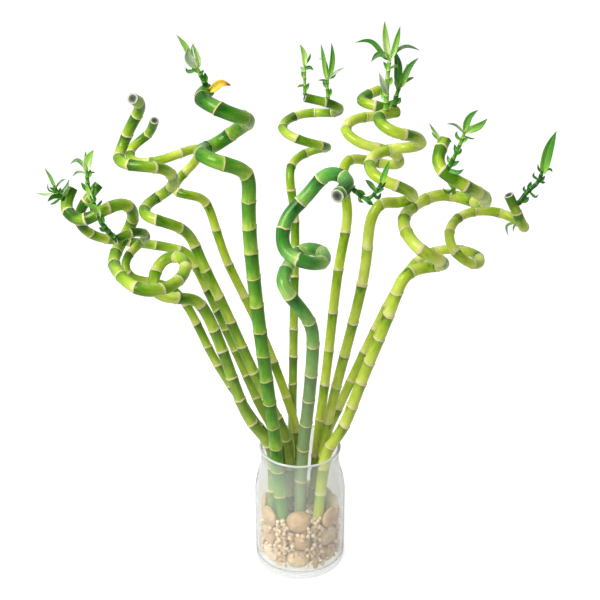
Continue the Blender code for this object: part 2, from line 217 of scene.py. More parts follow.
# Each cane: its radius, the distance between its rings, its skin, and its route from foot to sawn end
CANES = {
    "cane_left_thin": (4.7, 26, "green", [
        (-25, 8, 9.7), (-30, 8, 85), (-35, 8, 150), (-47, 9, 170), (-68, 12, 203), (-100, 18, 261),
        (-132, 27, 323), (-157, 21, 340), (-180, 14, 350), (-186, 20, 362), (-177, 33, 375),
        (-163, 22, 391), (-169, -4, 407), (-187, -24, 406)]),
    "cane_left_double_loop": (6.2, 28, "green", [
        (-27, -7, 9.7), (-31, -8, 85), (-33, -8, 150), (-52, -12, 184), (-73, -15, 242), (-103, -17, 329),
        (-115, -23, 340), (-136, -31, 346), (-152, -15, 351), (-145, 9, 369), (-129, 5, 376),
        (-118, -18, 374), (-131, -57, 369), (-156, -74, 373), (-182, -48, 380), (-191, -12, 384),
        (-183, 15, 397), (-174, 14, 417), (-181, -12, 440), (-201, -26, 436), (-220, -26, 429),
        (-236, -12, 436), (-232, 1, 453)]),
    "cane_left_reaching": (5.3, 27, "green", [
        (-14, 13, 9.7), (-19, 12, 85), (-24, 12, 150), (-39, 17, 178), (-62, 34, 225), (-115, 69, 337),
        (-128, 77, 352), (-161, 77, 361), (-196, 72, 368), (-220, 56, 379), (-234, 42, 397),
        (-232, 34, 417), (-213, 45, 442)]),
    "cane_left_tall": (5.6, 30, "green", [
        (-13, -3, 9.7), (-13, -2, 85), (-13, -2, 150), (-22, -3, 179), (-48, -3, 238), (-81, 0, 320),
        (-104, 4, 374), (-115, 0, 402), (-135, -20, 423), (-156, -13, 429), (-157, 7, 433),
        (-147, 21, 437), (-131, 10, 453), (-134, -23, 480), (-153, -35, 487), (-178, -18, 488),
        (-178, -1, 496), (-168, -1, 517), (-156, -12, 540), (-159, -35, 554)]),
    "cane_back_left": (5.0, 38, "pale", [
        (-1, 10, 9.7), (-2, 12, 85), (-3, 14, 150), (-12, 25, 186), (-52, 60, 282), (-83, 80, 344),
        (-97, 91, 386), (-107, 91, 409), (-122, 82, 418), (-138, 93, 421), (-131, 116, 431),
        (-117, 116, 446), (-111, 102, 464), (-133, 82, 464), (-165, 76, 457), (-183, 84, 459),
        (-182, 98, 468), (-167, 102, 480), (-156, 88, 500)]),
    "cane_dark_front": (7.0, 30, "dark", [
        (-16, -21, 9.7), (-21, -22, 85), (-26, -22, 150), (-37, -48, 277), (-46, -59, 379),
        (-49, -67, 462), (-52, -74, 493), (-75, -84, 506), (-94, -62, 509), (-83, -34, 508),
        (-61, -34, 523), (-49, -56, 538), (-62, -82, 551), (-82, -78, 559), (-91, -60, 562),
        (-86, -46, 565)]),
    "cane_back_centre": (4.9, 32, "green", [
        (-6, 24, 9.7), (-8, 27, 85), (-9, 30, 150), (-8, 50, 214), (-6, 83, 331), (-7, 97, 398),
        (-11, 108, 436), (0, 132, 447), (19, 136, 454), (30, 117, 462), (8, 92, 475), (-17, 106, 483),
        (-13, 134, 489), (13, 151, 492), (39, 134, 497), (39, 106, 511), (5, 92, 524)]),
    "cane_hooked_front": (6.8, 36, "blue", [
        (-2, -12, 9.7), (0, -14, 85), (3, -15, 150), (7, -25, 196), (13, -48, 287), (11, -61, 327),
        (-1, -71, 353), (-16, -73, 378), (-12, -49, 387), (5, -25, 396), (21, -37, 398),
        (22, -65, 399), (3, -91, 410), (-14, -83, 419), (-13, -73, 445), (8, -62, 468),
        (27, -64, 488), (43, -81, 488), (34, -115, 484)]),
    "cane_back_right": (5.4, 42, "pale", [
        (13, 5, 9.7), (16, 7, 85), (20, 9, 150), (31, 25, 245), (44, 46, 358), (51, 55, 410),
        (46, 59, 441), (51, 75, 458), (79, 96, 452), (107, 90, 451), (98, 70, 470), (67, 56, 483),
        (49, 70, 494), (62, 92, 501), (84, 100, 502), (95, 80, 513), (81, 62, 522), (65, 74, 525),
        (85, 100, 530)]),
    "cane_right_tall": (5.6, 43, "pale", [
        (18, -6, 9.7), (23, -6, 85), (27, -4, 150), (47, -13, 266), (68, -20, 384), (72, -23, 429),
        (82, -17, 442), (100, -6, 440), (112, -20, 451), (93, -49, 472), (72, -41, 481),
        (71, -16, 489), (94, 4, 493), (117, -7, 500), (112, -30, 515), (88, -49, 526),
        (76, -30, 533), (95, -7, 534)]),
    "cane_right_wide": (6.2, 29, "pale", [
        (11, -23, 9.7), (22, -21, 85), (30, -17, 150), (44, -21, 178), (64, -32, 243), (95, -42, 344),
        (107, -42, 374), (128, -31, 379), (144, -40, 386), (119, -68, 412), (104, -35, 425),
        (120, 15, 430), (154, 38, 433), (183, 15, 433), (186, -19, 448), (155, -67, 479),
        (133, -61, 495), (139, -36, 513)]),
    "cane_far_right": (5.3, 30, "pale", [
        (19, 19, 9.7), (24, 18, 85), (30, 18, 150), (38, 23, 170), (81, 48, 262), (120, 69, 331),
        (143, 84, 347), (174, 85, 353), (197, 63, 353), (191, 38, 354), (167, 26, 372),
        (161, 44, 385), (180, 81, 395), (217, 92, 395), (242, 75, 389), (241, 47, 394),
        (219, 32, 435)]),
}
CANE_SIDES = 24
CANE_SPACING = 4.0
SCAR_HALF_WIDTH = 1.1
SCAR_RIDGE = 0.55
SCAR_SLANT = 0.20
SKIN_INSET = 0.12
CANE_YOUNGEST = 2.2
YOUNG_LENGTH = 90.0
YOUNG_RIPENING = 60.0
CUT_RINGS = [(0.93, 0.25), (0.6, 0.32), (0.3, 0.05)]
CUT_AWAY_FROM_SCARS = 9.0


def stem_frames(curve):
    """The directions along a curve and to two sides of it, turned no more than the curve turns."""
    along = np.gradient(curve, axis=0)
    along /= np.linalg.norm(along, axis=1)[:, None]
    across = np.empty_like(along)
    side = np.cross(along[0], (0.0, -1.0, 0.0))
    across[0] = side / np.linalg.norm(side)
    for i in range(1, len(curve)):
        side = across[i - 1] - along[i] * (across[i - 1] @ along[i])
        across[i] = side / np.linalg.norm(side)
    return along, across, np.cross(along, across)


def stem_mesh(curve, base_radius, tip_radius, pitch, dice, sides, spacing, half_width, ridge, slant,
              youngest=0.0):
    """A round stem with a raised leaf scar at every pitch, and a cut at each end, a little dished. Its
    marks are the place round and along the skin in millimetres, the distance to the nearest scar, the
    place between two scars from 0 to 1, and a shade of its own for each stretch between scars, darker
    by `youngest` towards the top."""
    steps = np.linalg.norm(np.diff(curve, axis=0), axis=1)
    lengths = np.concatenate([[0.0], np.cumsum(steps)])
    total = lengths[-1]
    scars = [pitch * dice.uniform(0.3, 0.8)]
    while scars[-1] + 0.6 * pitch < total:
        shorter = 1.15 - 0.30 * scars[-1] / total
        scars.append(scars[-1] + pitch * shorter * dice.uniform(0.86, 1.14))
    scars = np.array([scar for scar in scars if scar < total - 4 * half_width])
    beside = half_width * np.array([-5, -3, -1.9, -1.3, -0.8, -0.35, 0, 0.35, 0.8, 1.3, 2.2, 4])
    plain = np.arange(0.0, total, spacing)
    plain = plain[np.abs(plain[:, None] - scars).min(axis=1) > 5.5 * half_width]
    stations = np.concatenate([plain, (scars[:, None] + beside).ravel(), [0.0, total]])
    stations = np.unique(np.clip(stations, 0.0, total))

    nearest = np.abs(stations[:, None] - scars).argmin(axis=1)
    away = stations - scars[nearest]
    ends = np.concatenate([[scars[0] - pitch], scars, [scars[-1] + pitch]])
    stretch = np.clip(np.searchsorted(ends, stations - 1e-6, side="right") - 1, 0, len(scars))
    between = np.clip((stations - ends[stretch]) / (ends[stretch + 1] - ends[stretch]), 0, 1)
    shades = dice.uniform(-1.0, 1.0, len(ends))[stretch]
    shades += youngest * np.clip((stations - total + YOUNG_LENGTH) / YOUNG_RIPENING, 0, 1)

    radii = base_radius + (tip_radius - base_radius) * stations / total - SKIN_INSET
    radii += ridge * np.exp(-(away / half_width) ** 2)
    radii += 0.5 * ridge * np.exp(-((away + 2.4 * half_width) / (2.2 * half_width)) ** 2)
    angles = np.linspace(0, 2 * math.pi, sides, endpoint=False)
    facing = dice.uniform(0, 2 * math.pi, len(scars))[nearest]
    apart = (angles[None, :] - facing[:, None] + math.pi) % (2 * math.pi) - math.pi
    tilt = dice.uniform(0.4, 1.2, len(scars))[nearest][:, None]
    dip = np.cos(apart) * tilt - 0.9 * np.exp(-(apart / 0.32) ** 2)
    slide = slant * radii[:, None] * dip * np.exp(-(away / (4 * half_width)) ** 2)[:, None]

    along, across, third = (np.stack([np.interp(stations, lengths, part[:, axis]) for axis in range(3)], 1)
                            for part in stem_frames(curve))
    centres = np.stack([np.interp(stations, lengths, curve[:, axis]) for axis in range(3)], 1)
    slide *= np.minimum(1.0, np.minimum(stations, total - stations) / 6.0)[:, None]
    around = radii[:, None] * np.cos(angles), radii[:, None] * np.sin(angles)
    skin = (centres[:, None] + slide[:, :, None] * along[:, None]
            + around[0][:, :, None] * across[:, None] + around[1][:, :, None] * third[:, None])
    points = [skin.reshape(-1, 3)]
    place = [np.stack([around[0], around[1], np.repeat(stations[:, None], sides, 1)], 2).reshape(-1, 3)]
    rows = len(stations)
    faces = [(row * sides + side, row * sides + (side + 1) % sides,
              (row + 1) * sides + (side + 1) % sides, (row + 1) * sides + side)
             for row in range(rows - 1) for side in range(sides)]
    face_materials = [0] * len(faces)
    count = rows * sides
    for row, outwards in ((0, -1.0), (rows - 1, 1.0)):
        before = row * sides
        for share, lift in CUT_RINGS:
            loop = centres[row] + along[row] * outwards * lift + share * (skin[row] - centres[row])
            points.append(loop)
            place.append(np.stack([share * around[0][row], share * around[1][row],
                                   np.full(sides, stations[row])], 1))
            for side in range(sides):
                after = (side + 1) % sides
                quad = (before + side, before + after, count + after, count + side)
                faces.append(quad if outwards > 0 else quad[::-1])
            face_materials += [1] * sides
            before = count
            count += sides
        points.append(centres[row][None])
        place.append(np.array([[0.0, 0.0, stations[row]]]))
        for side in range(sides):
            fan = (before + side, before + (side + 1) % sides, count)
            faces.append(fan if outwards > 0 else fan[::-1])
        face_materials += [1] * sides
        count += 1
    caps = count - rows * sides
    reach = np.concatenate([np.repeat([share for share, _ in CUT_RINGS], sides), [0.0]])
    marks = {"skin": np.concatenate(place),
             "scar": np.concatenate([np.repeat(np.abs(away), sides), np.full(caps, CUT_AWAY_FROM_SCARS)]),
             "between": np.concatenate([np.repeat(between, sides), reach, reach]),
             "shade": np.concatenate([np.repeat(shades, sides), np.zeros(caps)])}
    return np.concatenate(points), faces, face_materials, marks


def cane_skin(name, skin_stops, scar_stops, scar_width, gloss, weathered, weathered_share):
    """Waxy living bark. Each stretch grows pale from the scar below it and ripens to dark green under the
    scar above, with fibres about 0.4 mm wide along it and soft blotches about 10 mm long. The oldest
    part, near the foot, has faded towards a weathered colour."""
    material = start_material(name)
    place = add(material, "Attribute", attribute_name="skin").outputs["Vector"]
    fine = add(material, "VectorMath", {0: place, 1: (1.6, 1.6, 0.05)}, operation="MULTIPLY")
    fibres = add(material, "TexNoise", {"Vector": fine, "Scale": 1.5, "Detail": 3.0})
    soft = add(material, "VectorMath", {0: place, 1: (0.16, 0.16, 0.07)}, operation="MULTIPLY")
    blotches = add(material, "TexNoise", {"Vector": soft, "Scale": 1.0, "Detail": 2.0})
    speck_place = add(material, "VectorMath", {0: place, 1: (0.9, 0.9, 0.5)}, operation="MULTIPLY")
    specks = add(material, "TexNoise", {"Vector": speck_place, "Scale": 1.2, "Detail": 4.0})
    between = add(material, "Attribute", attribute_name="between").outputs["Fac"]
    shade = add(material, "Attribute", attribute_name="shade").outputs["Fac"]
    scar = add(material, "Attribute", attribute_name="scar").outputs["Fac"]

    ripening = add(material, "MapRange", {"Value": between, "To Min": 0.10, "To Max": 0.86})
    ripe = add(material, "Math", {0: shade, 1: 0.19, 2: ripening}, operation="MULTIPLY_ADD")
    mottled = add(material, "MapRange", {"Value": blotches, "From Min": 0.3, "From Max": 0.7,
                                         "To Min": -0.16, "To Max": 0.16})
    streaked = add(material, "MapRange", {"Value": fibres, "From Min": 0.3, "From Max": 0.7,
                                          "To Min": -0.09, "To Max": 0.09})
    ripe = add(material, "Math", {0: ripe, 1: mottled}, operation="ADD")
    ripe = add(material, "Math", {0: ripe, 1: streaked}, operation="ADD")
    green = add(material, "ValToRGB", {"Fac": ripe}, stops=skin_stops)
    along = add(material, "SeparateXYZ", {"Vector": place}).outputs["Z"]
    old = add(material, "MapRange", {"Value": along, "From Min": 180.0, "From Max": 360.0,
                                     "To Min": weathered_share, "To Max": 0.0})
    green = add(material, "Mix", {0: old, 6: green, 7: paint(weathered)},
                data_type="RGBA")

    rough_edge = add(material, "Math", {0: fibres, 1: 0.5, 2: scar}, operation="MULTIPLY_ADD")
    inside_scar = add(material, "MapRange", {"Value": rough_edge, "From Min": scar_width,
                                             "From Max": scar_width + 0.5, "To Min": 1.0, "To Max": 0.0})
    across_scar = add(material, "Math", {0: rough_edge, 1: scar_width + 0.4},
                      operation="DIVIDE")
    scar_colour = add(material, "ValToRGB", {"Fac": across_scar}, stops=scar_stops)
    scabby = add(material, "MapRange", {"Value": specks, "From Min": 0.35, "From Max": 0.7,
                                        "To Min": 0.0, "To Max": 0.35})
    scar_colour = add(material, "Mix", {0: scabby, 6: scar_colour,
                                        7: paint("#b0925e")}, data_type="RGBA")
    colour = add(material, "Mix", {0: inside_scar, 6: green.outputs[2],
                                   7: scar_colour.outputs[2]}, data_type="RGBA")
    rough = add(material, "MapRange", {"Value": inside_scar, "To Min": gloss,
                                       "To Max": 0.62})
    relief = add(material, "Math", {0: specks, 1: inside_scar, 2: fibres},
                 operation="MULTIPLY_ADD")
    grain = add(material, "Bump", {"Height": relief, "Strength": 0.22, "Distance": 0.0004})
    add(material, "OutputMaterial", {"Surface": add(material, "BsdfPrincipled", {
        "Base Color": colour.outputs[2], "Roughness": rough, "IOR": 1.45,
        "Specular IOR Level": 0.5, "Specular Tint": paint("#f8fbd0"), "Coat Weight": 0.10,
        "Coat Roughness": 0.15, "Subsurface Weight": 0.08,
        "Subsurface Radius": (0.6, 1.0, 0.3), "Subsurface Scale": 0.002,
        "Normal": grain})})
    return material


CREAM_SCAR = [(0.0, "#f2ebc4"), (0.55, "#e8e0ac"), (0.8, "#d8cc92"), (1.0, "#b9ae6c")]
skins = {
    "green": cane_skin("waxy_green_bark", [
        (0.0, "#dbe878"), (0.12, "#c2d94a"), (0.4, "#98bf2c"), (0.75, "#64960f"), (0.98, "#2f6402")],
        CREAM_SCAR, 1.1, 0.27, "#8f9f55", 0.45),
    "pale": cane_skin("waxy_yellow_green_bark", [
        (0.0, "#ecf38c"), (0.15, "#dbe862"), (0.5, "#bcd43c"), (0.8, "#8fb41c"), (0.98, "#4c800a")],
        CREAM_SCAR, 1.2, 0.27, "#b4b856", 0.25),
    "dark": cane_skin("waxy_dark_green_bark", [
        (0.0, "#bcd85a"), (0.12, "#8fc03a"), (0.45, "#5fa01e"), (0.8, "#3a820e"), (0.98, "#195804")],
        [(0.0, "#f0e2b0"), (0.6, "#e0c68c"), (1.0, "#b08f52")], 0.6, 0.25, "#4c7e1e", 0.2),
    "blue": cane_skin("bloomed_blue_green_bark", [
        (0.0, "#acd070"), (0.15, "#84bc52"), (0.5, "#529c3a"), (0.8, "#2f7c26"), (0.98, "#145214")],
        CREAM_SCAR, 0.8, 0.28, "#94a475", 0.75),
}
SKIN_SLOTS = {"green": "cane_skin", "pale": "cane_skin", "dark": "cane_skin_dark", "blue": "cane_skin_blue"}

# A sawn end, dried for weeks: a hard pale rim round grey-green pith that has shrunk a little, dotted with
# darker fibre bundles about 0.6 mm apart. Towards the middle the pith goes near black: painted shade in the
# shallow hollow.
sawn = start_material("sawn_dried_pith")
sawn_place = add(sawn, "Attribute", attribute_name="skin").outputs["Vector"]
sawn_reach = add(sawn, "Attribute", attribute_name="between").outputs["Fac"]
bundles = add(sawn, "TexVoronoi", {"Vector": sawn_place, "Scale": 1.7})
stain = add(sawn, "TexNoise", {"Vector": sawn_place, "Scale": 0.5, "Detail": 3.0})
# Stain plus the place from the middle of the cut outwards: the near-black middle is painted shade.
stain_and_hollow_shade = add(sawn, "Math", {0: stain, 1: 0.3, 2: sawn_reach}, operation="MULTIPLY_ADD")
pith = add(sawn, "ValToRGB", {"Fac": stain_and_hollow_shade}, stops=[
    (0.4, "#30362c"), (0.75, "#656d5a"), (0.9, "#a9b096"), (1.0, "#d9dac2")])
dots = add(sawn, "MapRange", {"Value": bundles.outputs["Distance"], "From Min": 0.05, "From Max": 0.4,
                              "To Min": 0.55, "To Max": 0.0})
sawn_colour = add(sawn, "Mix", {0: dots, 6: pith, 7: paint("#6a5c3c")},
                  data_type="RGBA")
sawn_bump = add(sawn, "Bump", {"Height": bundles.outputs["Distance"], "Strength": 0.4, "Distance": 0.0003})
add(sawn, "OutputMaterial", {"Surface": add(sawn, "BsdfPrincipled", {
    "Base Color": sawn_colour.outputs[2], "Roughness": 0.7, "Normal": sawn_bump})})

cane_curves = {}
for number, (name, (radius, pitch, skin, route)) in enumerate(CANES.items()):
    curve = smooth_curve(route, 2400)
    cane_curves[name] = curve
    dice = np.random.default_rng(100 + number)
    points, faces, face_materials, marks = stem_mesh(
        curve, radius, radius, pitch, dice, CANE_SIDES, CANE_SPACING, SCAR_HALF_WIDTH, SCAR_RIDGE,
        SCAR_SLANT, CANE_YOUNGEST)
    make_piece(name + "_ringed", points, faces, [skins[skin], sawn], SKIN_SLOTS[skin], name,
               face_materials, **marks)


# ---------------------------------------------------------------------------------------------------------
# The pebbles. Tumbled river stones, tan to buff, poured in round the canes to hold them upright, with
# fine gravel shaken down between them. They fill the lower half of the jar.

GRAVEL_GRAIN = 5.6
GRAVEL_TOP = 77.0
GRAVEL_ROWS = range(-20, 21)
GRAVEL_HIDDEN_RADIUS = 32.0
GRAVEL_HIDDEN_DEPTH = 16.0
GRAVEL_INNER_WALL = JAR_BODY_RADIUS - JAR_WALL


def ball(level):
    """Corners and faces of a round ball made from an icosahedron."""
    shape = bmesh.new()
    bmesh.ops.create_icosphere(shape, subdivisions=level, radius=1.0)
    corners = np.array([vert.co for vert in shape.verts])
    triangles = [tuple(vert.index for vert in face.verts) for face in shape.faces]
    shape.free()
    return corners, triangles


# Water-worn sandstone and quartzite: matt, sandy, with pale and rusty patches about 6 mm across and a
# speckle of darker grains about 0.5 mm across.
stone = start_material("tumbled_river_stone")
stone_place = add(stone, "TexCoord").outputs["Object"]
patches = add(stone, "TexNoise", {"Vector": stone_place, "Scale": 160.0, "Detail": 3.0})
grains = add(stone, "TexNoise", {"Vector": stone_place, "Scale": 1800.0, "Detail": 2.0})
shade = add(stone, "Attribute", attribute_name="shade").outputs["Fac"]
warm = add(stone, "Math", {0: shade, 1: 0.30, 2: patches}, operation="MULTIPLY_ADD")
buff = add(stone, "ValToRGB", {"Fac": warm}, stops=[
    (0.1, "#c8a070"), (0.35, "#e0bc86"), (0.55, "#f0d4a4"), (0.75, "#f8e6c2"), (0.95, "#fdf4e0")])
dark_grains = add(stone, "MapRange", {"Value": grains, "From Min": 0.55, "From Max": 0.7,
                                      "To Min": 0.0, "To Max": 0.35})
stone_colour = add(stone, "Mix", {0: dark_grains, 6: buff, 7: paint("#8a6a48")},
                   data_type="RGBA")
stone_bump = add(stone, "Bump", {"Height": grains, "Strength": 0.35, "Distance": 0.0003})
stone_rough = add(stone, "MapRange", {"Value": patches, "To Min": 0.5, "To Max": 0.8})
add(stone, "OutputMaterial", {"Surface": add(stone, "BsdfPrincipled", {
    "Base Color": stone_colour.outputs[2], "Roughness": stone_rough,
    "Normal": stone_bump})})

dice = np.random.default_rng(7)
corners, triangles = ball(4)
pebble_middles = []
for name in sorted(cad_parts):
    if not name.startswith("pebble_"):
        continue
    solid = np.array([vert.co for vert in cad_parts[name].data.vertices]) / MM
    middle = (solid.max(axis=0) + solid.min(axis=0)) / 2
    bearing = math.atan2(middle[1], middle[0])
    outwards = np.array([math.cos(bearing), math.sin(bearing), 0.0])
    around = np.array([-math.sin(bearing), math.cos(bearing), 0.0])
    half = [np.abs((solid - middle) @ axis).max() for axis in (outwards, around, np.array([0, 0, 1.0]))]
    turned = np.stack([outwards * half[0], around * half[1], np.array([0, 0, half[2]])])
    worn = np.sign(corners) * np.abs(corners) ** 0.86
    seed = dice.uniform(0, 50)
    shrink = np.array([1 - 0.10 * (0.5 + 0.5 * noise.noise(Vector(c) * 1.3 + Vector((seed, 0, 0)))
                                   + 0.25 * noise.noise(Vector(c) * 3.5 + Vector((0, seed, 0))))
                       for c in corners])
    stone_shape = middle + (worn * shrink[:, None]) @ turned
    make_piece(name + "_worn", stone_shape, triangles, [stone], "river_pebble", name,
               shade=np.full(len(corners), dice.uniform(-1, 1)))
    pebble_middles.append((middle, outwards, around, half))

# The gravel lies packed like shot, each grain a little off its place, wherever no cane or pebble is. The
# grains in the middle of the bed, which nothing shows, are left out below the top layers.
corners, triangles = ball(2)
cane_inside = [(curve[curve[:, 2] < 100.0][::4], CANES[name][0]) for name, curve in cane_curves.items()]
gravel_points, gravel_faces, gravel_shades = [], [], []
rise = GRAVEL_GRAIN * math.sqrt(2 / 3)
for layer in range(int((GRAVEL_TOP - JAR_FLOOR) / rise)):
    for row in GRAVEL_ROWS:
        for column in GRAVEL_ROWS:
            middle = np.array([GRAVEL_GRAIN * (column + 0.5 * (row % 2) + 0.5 * (layer % 2)),
                               GRAVEL_GRAIN * (row * math.sqrt(3) / 2 + (layer % 2) / math.sqrt(3)),
                               JAR_FLOOR + 0.5 + GRAVEL_GRAIN / 2 + rise * layer])
            middle += dice.uniform(-0.14, 0.14, 3) * GRAVEL_GRAIN
            size = GRAVEL_GRAIN * dice.uniform(0.40, 0.56)
            reach = math.hypot(middle[0], middle[1])
            buried = reach < GRAVEL_HIDDEN_RADIUS and middle[2] < GRAVEL_TOP - GRAVEL_HIDDEN_DEPTH
            heel = max(0.0, JAR_FLOOR + 6.0 - middle[2])
            if buried or reach + size + heel > GRAVEL_INNER_WALL - 0.2 or middle[2] - size < JAR_FLOOR + 0.1:
                continue
            if any(np.linalg.norm(curve - middle, axis=1).min() < 0.9 * size + radius
                   for curve, radius in cane_inside):
                continue
            if any(np.linalg.norm([(middle - stone_middle) @ outwards / (half[0] + 0.8 * size),
                                   (middle - stone_middle) @ around / (half[1] + 0.8 * size),
                                   (middle - stone_middle)[2] / (half[2] + 0.8 * size)]) < 0.97
                   for stone_middle, outwards, around, half in pebble_middles):
                continue
            start = len(gravel_points) * len(corners)
            gravel_points.append(middle + corners * size * dice.uniform(0.8, 1.0, 3))
            gravel_faces += [tuple(start + i for i in face) for face in triangles]
            gravel_shades.append(np.full(len(corners), dice.uniform(-1, 1)))
make_piece("fine_gravel", np.concatenate(gravel_points), gravel_faces, [stone], "river_pebble",
           shade=np.concatenate(gravel_shades))


# ---------------------------------------------------------------------------------------------------------
# The shoots. Soft green side stems that sprout just under a sawn end. Each is wrapped in short
# overlapping leaf sheaths, so it looks like a stack of collars, dark at each edge.

# Each shoot: the cane it grows from, its radius at the cane and at its tip, how dark it is there (0 is
# pale and 1 is dark), and its route outwards
SHOOTS = {
    "shoot_left_thin": ("cane_left_thin", 3.4, 2.2, 0.85, 0.55, [
        (-191, -31, 417), (-197, -37, 429), (-201, -40, 444), (-207, -39, 466), (-207, -38, 484)]),
    "shoot_left_double_loop": ("cane_left_double_loop", 2.8, 1.6, 0.80, 0.70, [
        (-239, -10, 445), (-243, -14, 453), (-246, -16, 461)]),
    "shoot_dark_front": ("cane_dark_front", 3.4, 1.8, 1.00, 0.15, [
        (-88, -52, 573), (-92, -54, 581), (-95, -54, 588)]),
    "shoot_back_centre_left": ("cane_back_centre", 2.2, 1.6, 0.45, 0.15, [
        (5, 90, 531), (5, 90, 545), (5, 90, 559)]),
    "shoot_back_centre_right": ("cane_back_centre", 2.6, 1.7, 0.50, 0.30, [
        (31, 96, 525), (29, 97, 534), (30, 98, 543)]),
    "shoot_hooked_front": ("cane_hooked_front", 2.8, 1.7, 0.75, 0.80, [
        (50, -92, 482), (56, -93, 477), (63, -93, 474), (71, -93, 481), (75, -94, 490)]),
    "shoot_right_tall_left": ("cane_right_tall", 3.2, 2.0, 0.40, 0.10, [
        (84, -21, 544), (83, -22, 556), (85, -22, 590)]),
    "shoot_right_tall_right": ("cane_right_tall", 3.2, 2.0, 0.60, 0.60, [
        (92, -8, 542), (94, -8, 551), (97, -8, 560)]),
    "shoot_right_wide_right": ("cane_right_wide", 2.8, 1.7, 0.85, 0.30, [
        (142, -70, 500), (146, -71, 511), (150, -71, 522), (153, -71, 532)]),
    "shoot_right_wide_low": ("cane_right_wide", 2.4, 1.5, 0.60, 0.40, [
        (160, 30, 443), (157, 26, 451), (155, 25, 457)]),
    "shoot_far_right": ("cane_far_right", 3.4, 2.2, 0.95, 0.85, [
        (232, 35, 426), (240, 38, 437), (249, 40, 445), (254, 42, 457)]),
}
SHOOT_PITCH = 7.0
SHOOT_SLIMMER = 0.86
SHOOT_SIDES = 16
SHOOT_SPACING = 1.5
COLLAR_HALF_WIDTH = 0.45
COLLAR_RIDGE = 0.42
COLLAR_SLANT = 0.35
SHOOT_DEPTH = 1.5
SHOOT_SQUARE_LENGTH = 2.5

# Soft new growth: glossy and a little see-through, paler just above each collar than at its edge.
new_growth = start_material("soft_new_stem")
new_place = add(new_growth, "Attribute", attribute_name="skin").outputs["Vector"]
new_fine = add(new_growth, "VectorMath", {0: new_place, 1: (2.4, 2.4, 0.12)}, operation="MULTIPLY")
new_fibres = add(new_growth, "TexNoise", {"Vector": new_fine, "Scale": 1.5, "Detail": 2.0})
new_between = add(new_growth, "Attribute", attribute_name="between").outputs["Fac"]
new_shift = add(new_growth, "MapRange", {"Value": new_fibres, "From Min": 0.3, "From Max": 0.7,
                                         "To Min": -0.18, "To Max": 0.18})
new_shade = add(new_growth, "Attribute", attribute_name="shade").outputs["Fac"]
new_ripe = add(new_growth, "Math", {0: new_between, 1: 0.40, 2: new_shift},
               operation="MULTIPLY_ADD")
new_ripe = add(new_growth, "Math", {0: new_shade, 1: 0.85, 2: new_ripe}, operation="MULTIPLY_ADD")
new_colour = add(new_growth, "ValToRGB", {"Fac": new_ripe}, stops=[
    (0.05, "#d6ee92"), (0.3, "#a6d456"), (0.55, "#66aa2a"), (0.8, "#2c7c10"), (1.0, "#0c4a04")])
new_bump = add(new_growth, "Bump", {"Height": new_fibres, "Strength": 0.25,
                                    "Distance": 0.0003})
add(new_growth, "OutputMaterial", {"Surface": add(new_growth, "BsdfPrincipled", {
    "Base Color": new_colour, "Roughness": 0.36, "Specular IOR Level": 0.4,
    "Coat Weight": 0.1, "Coat Roughness": 0.2, "Subsurface Weight": 0.12,
    "Subsurface Radius": (0.6, 1.0, 0.3), "Subsurface Scale": 0.002,
    "Normal": new_bump})})

shoot_tips = {}
shoot_curves = {}
for number, (name, shoot) in enumerate(SHOOTS.items()):
    cane, base_radius, tip_radius, base_tone, tip_tone, route = shoot
    cane_curve = cane_curves[cane]
    first = np.array(route[0], dtype=float)
    nearest = cane_curve[np.linalg.norm(cane_curve - first, axis=1).argmin()]
    outwards = (first - nearest) / np.linalg.norm(first - nearest)
    root = nearest + outwards * (CANES[cane][0] - SHOOT_DEPTH)
    curve = smooth_curve([tuple(root), tuple(root + outwards * SHOOT_SQUARE_LENGTH)] + route[1:], 400)
    shoot_tips[name] = curve[-1], curve[-1] - curve[-40]
    shoot_curves[name] = curve
    points, faces, face_materials, marks = stem_mesh(
        curve, base_radius * SHOOT_SLIMMER, tip_radius * SHOOT_SLIMMER, SHOOT_PITCH,
        np.random.default_rng(300 + number), SHOOT_SIDES, SHOOT_SPACING, COLLAR_HALF_WIDTH,
        COLLAR_RIDGE, COLLAR_SLANT)
    marks["shade"] = base_tone + (tip_tone - base_tone) * marks["skin"][:, 2] / marks["skin"][:, 2].max()
    make_piece(name + "_sheathed", points, faces, [new_growth, new_growth], "shoot_stem", name,
               face_materials, **marks)


# ---------------------------------------------------------------------------------------------------------
# The leaves. Smooth lance-shaped blades folded up along the middle rib, each clasping its shoot and
# arching over to a sharp tip. The large ones open at the tip of a shoot, and small ones lower down.

